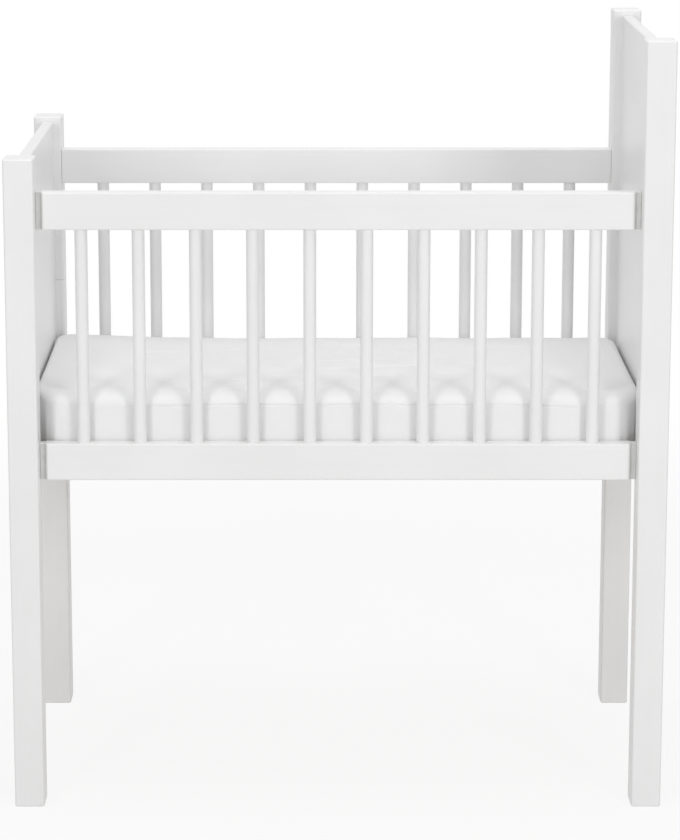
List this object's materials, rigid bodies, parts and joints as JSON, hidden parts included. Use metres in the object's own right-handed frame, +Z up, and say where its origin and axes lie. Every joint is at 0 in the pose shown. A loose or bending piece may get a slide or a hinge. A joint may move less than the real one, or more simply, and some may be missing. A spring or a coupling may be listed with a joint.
{
  "type": "bedside sleeper crib",
  "caption": "White wooden bedside sleeper crib on tall square legs, one end lower than the other, with barred sides, a lift-off front side, a slatted base and a mattress in a fitted sheet.",
  "frame": {"origin": "on the floor, under the middle of the crib's footprint", "axes": "+X along the length from the low end to the high end, +Y from the lift-off front side to the fixed back side, +Z up"},
  "size_m": [0.88, 0.49, 1.045],
  "materials": {
    "white_painted_wood": "satin",
    "bare_wood": "matte",
    "zinc_steel": "satin",
    "white_plastic": "satin",
    "sheet_cotton": "matte",
    "mattress_cover": "matte"
  },
  "bodies": {
    "crib_frame": {"back_bearer": "bare_wood", "back_bottom_rail": "white_painted_wood", "back_rail_screws": "zinc_steel", "back_spindle_01": "white_painted_wood", "back_spindle_02": "white_painted_wood", "back_spindle_03": "white_painted_wood", "back_spindle_04": "white_painted_wood", "back_spindle_05": "white_painted_wood", "back_spindle_06": "white_painted_wood", "back_spindle_07": "white_painted_wood", "back_spindle_08": "white_painted_wood", "back_spindle_09": "white_painted_wood", "back_spindle_10": "white_painted_wood", "back_top_rail": "white_painted_wood", "base_slat_1": "bare_wood", "base_slat_2": "bare_wood", "base_slat_3": "bare_wood", "base_slat_4": "bare_wood", "base_slat_5": "bare_wood", "base_slat_6": "bare_wood", "base_slat_7": "bare_wood", "base_slat_8": "bare_wood", "base_slat_9": "bare_wood", "front_bearer": "bare_wood", "hanger_studs": "zinc_steel", "high_end_back_post": "white_painted_wood", "high_end_cleat": "bare_wood", "high_end_front_post": "white_painted_wood", "high_end_panel": "white_painted_wood", "low_end_back_post": "white_painted_wood", "low_end_cleat": "bare_wood", "low_end_front_post": "white_painted_wood", "low_end_panel": "white_painted_wood"},
    "front_side": {"front_bottom_rail": "white_painted_wood", "front_spindle_01": "white_painted_wood", "front_spindle_02": "white_painted_wood", "front_spindle_03": "white_painted_wood", "front_spindle_04": "white_painted_wood", "front_spindle_05": "white_painted_wood", "front_spindle_06": "white_painted_wood", "front_spindle_07": "white_painted_wood", "front_spindle_08": "white_painted_wood", "front_spindle_09": "white_painted_wood", "front_spindle_10": "white_painted_wood", "front_top_rail": "white_painted_wood", "hanger_plate_high_bottom": "white_plastic", "hanger_plate_high_top": "white_plastic", "hanger_plate_low_bottom": "white_plastic", "hanger_plate_low_top": "white_plastic"},
    "mattress": {"fitted_sheet": "sheet_cotton", "mattress_core": "mattress_cover"}
  },
  "joints": [
    {"name": "front_side_lift", "type": "slide", "parent": "crib_frame", "child": "front_side", "axis": [0, 0, 1], "range_m": [0, 0.3]},
    {"name": "mattress_lift", "type": "slide", "parent": "crib_frame", "child": "mattress", "axis": [0, 0, 1], "range_m": [0, 0.45]}
  ]
}
